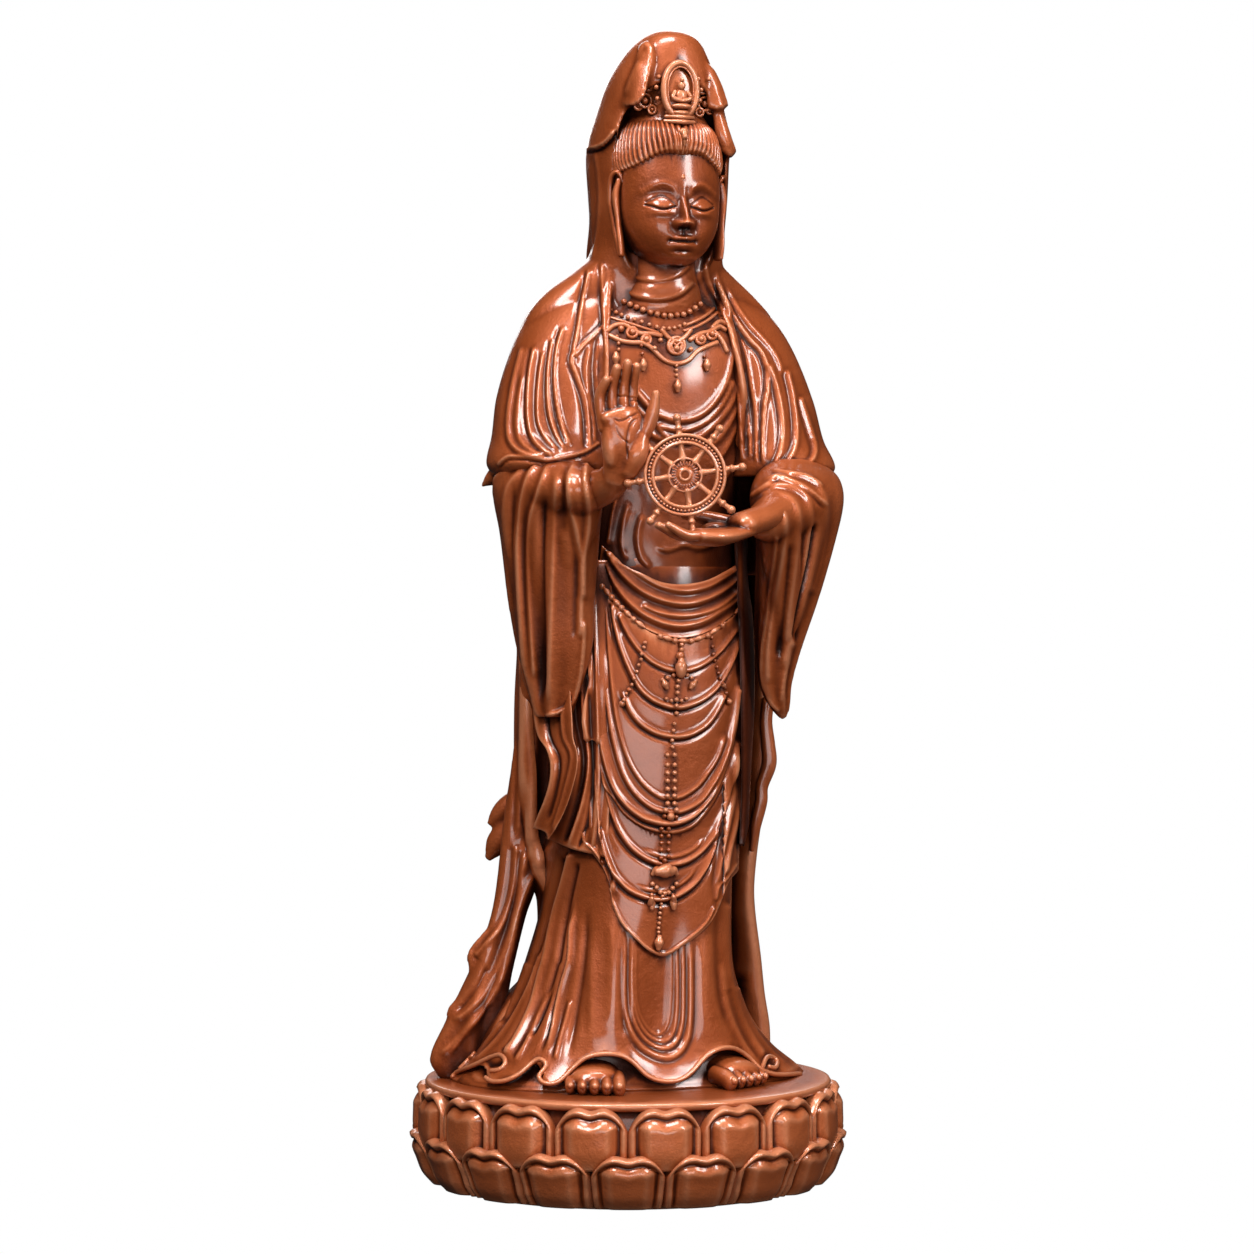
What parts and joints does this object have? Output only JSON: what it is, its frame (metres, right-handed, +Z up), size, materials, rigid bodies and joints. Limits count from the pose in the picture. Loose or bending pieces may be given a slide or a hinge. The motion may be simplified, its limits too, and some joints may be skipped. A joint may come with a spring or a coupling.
{
  "type": "guanyin figure on a lotus plinth",
  "caption": "Standing hooded guanyin in draped robes with one hand raised and an eight-spoked wheel on the other palm, on a round lotus plinth, in brown patinated bronze.",
  "frame": {"origin": "centre of the plinth's flat underside", "axes": "+Z up through the figure, -Y the side that the figure faces, +X the figure's left"},
  "size_m": [0.2264, 0.2288, 0.596],
  "materials": {
    "bronze": "glossy brown patina over cast bronze, darker in the recesses and finely pitted"
  },
  "bodies": {
    "root": {"figure": "bronze", "lotus_plinth": "bronze", "dharma_wheel": "bronze"}
  },
  "joints": []
}
